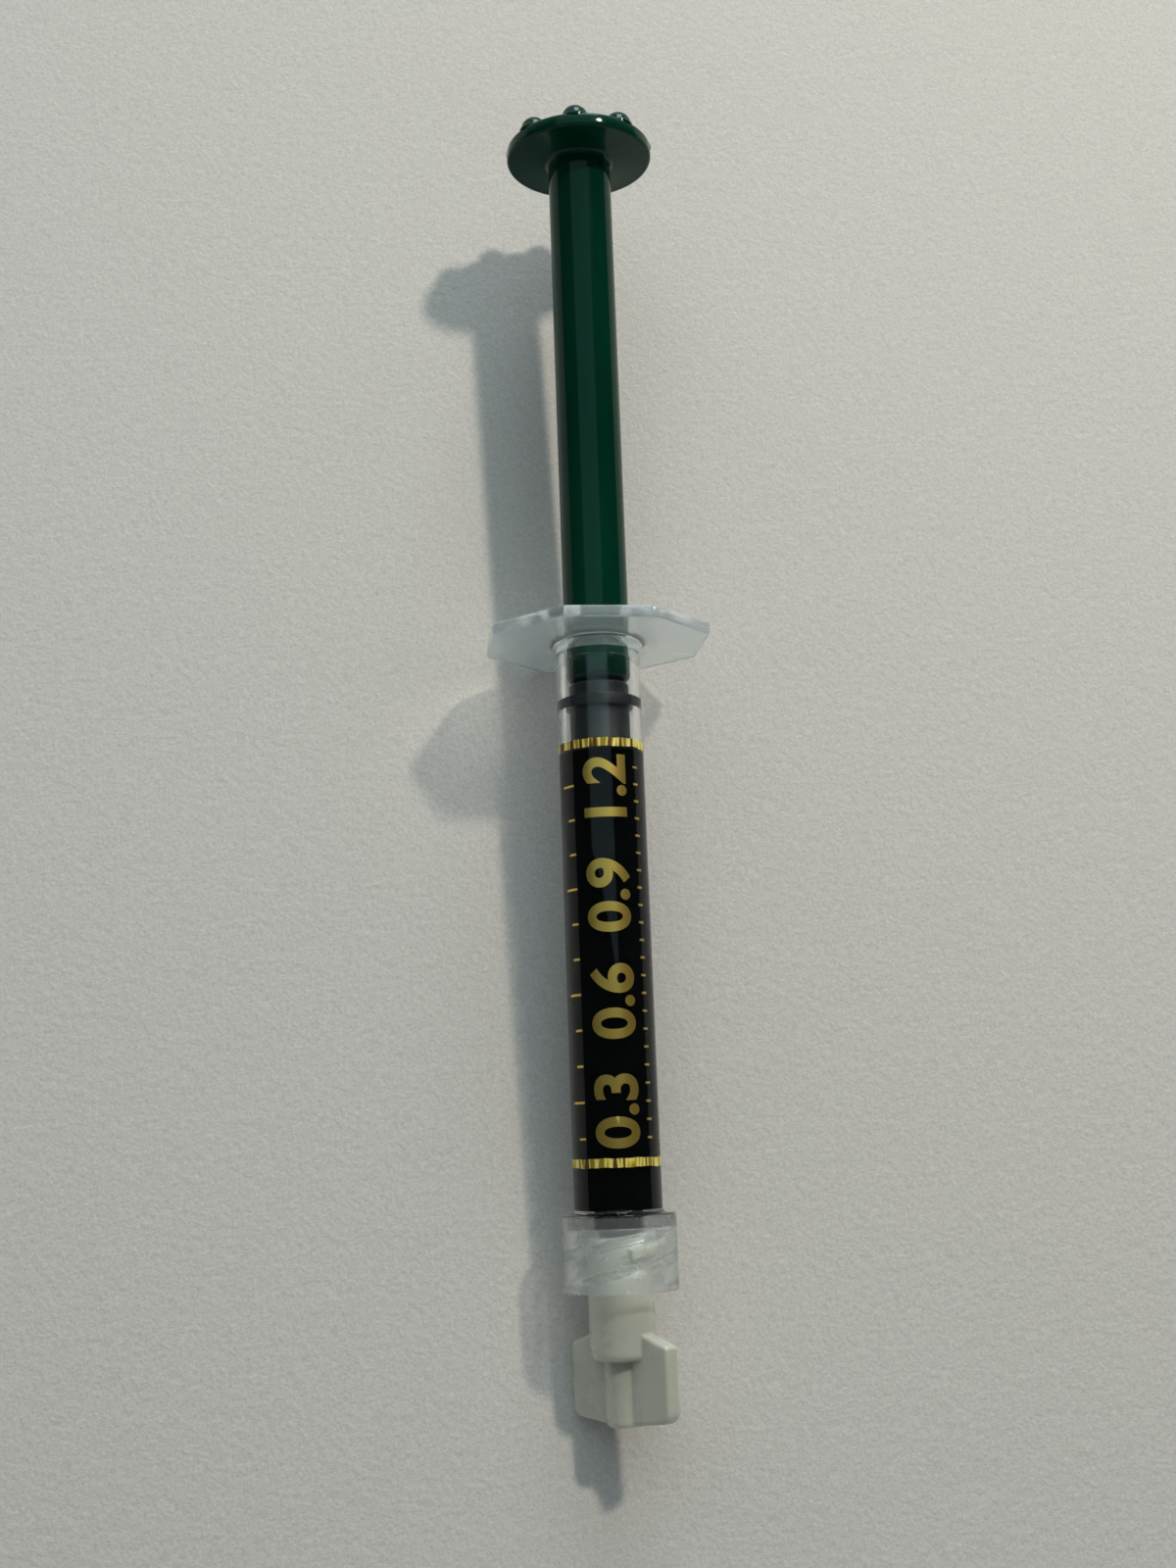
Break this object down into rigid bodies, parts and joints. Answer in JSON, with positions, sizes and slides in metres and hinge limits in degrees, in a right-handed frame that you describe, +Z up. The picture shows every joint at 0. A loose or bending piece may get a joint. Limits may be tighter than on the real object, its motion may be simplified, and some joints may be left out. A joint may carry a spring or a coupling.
{
  "type": "luer-lock dental gel syringe",
  "caption": "Prefilled disposable dental gel syringe with a round plunger, rubber stopper, octagonal finger flange, luer-lock collar and winged tip cap.",
  "frame": {"origin": "middle of the bounding box in X and Y, on the table plane", "axes": "+Y runs from the tip cap to the thumb disc, +Z is up; the syringe lies nose down by 4.4 degrees on its flange and cap"},
  "size_m": [0.0202, 0.1222, 0.021],
  "materials": {
    "clear_plastic": "clear polypropylene, polished tube, slightly milky flange and collar",
    "green_plastic": "glossy dark green moulded plastic",
    "black_rubber": "satin black rubber",
    "black_gel": "wet black gel",
    "ivory_plastic": "satin ivory-white moulded plastic",
    "gold_foil": "bright hot-stamped gold foil"
  },
  "bodies": {
    "barrel": {"barrel": "clear_plastic", "gel_column": "black_gel", "foil_band_upper": "gold_foil", "foil_band_lower": "gold_foil"},
    "stopper": {"stopper": "black_rubber"},
    "plunger_rod": {"plunger_rod": "green_plastic"},
    "cap_gel": {"cap_gel": "black_gel"},
    "tip_cap": {"tip_cap": "ivory_plastic"}
  },
  "joints": [
    {"name": "plunger_slide", "type": "slide", "parent": "barrel", "child": "stopper", "axis": [0, -0.9971, -0.0764], "range_m": [0, 0.0405], "deforming": ["gel_column"]},
    {"name": "rod_swivel", "type": "hinge", "parent": "stopper", "child": "plunger_rod", "pos_m": [0, 0.0051, 0.00978], "axis": [0, -0.9971, -0.0764], "continuous": true},
    {"name": "cap_advance", "type": "slide", "parent": "barrel", "child": "cap_gel", "axis": [0, -0.9971, -0.0764], "range_m": [0, 0.0063]},
    {"name": "cap_turn", "type": "hinge", "parent": "cap_gel", "child": "tip_cap", "pos_m": [0, -0.04505, 0.00593], "axis": [0, -0.9971, -0.0764], "range_deg": [0, 450]}
  ],
  "couplings": [
    {"joint": "cap_advance", "follows": "cap_turn", "m_per_rad": 0.00079577}
  ]
}
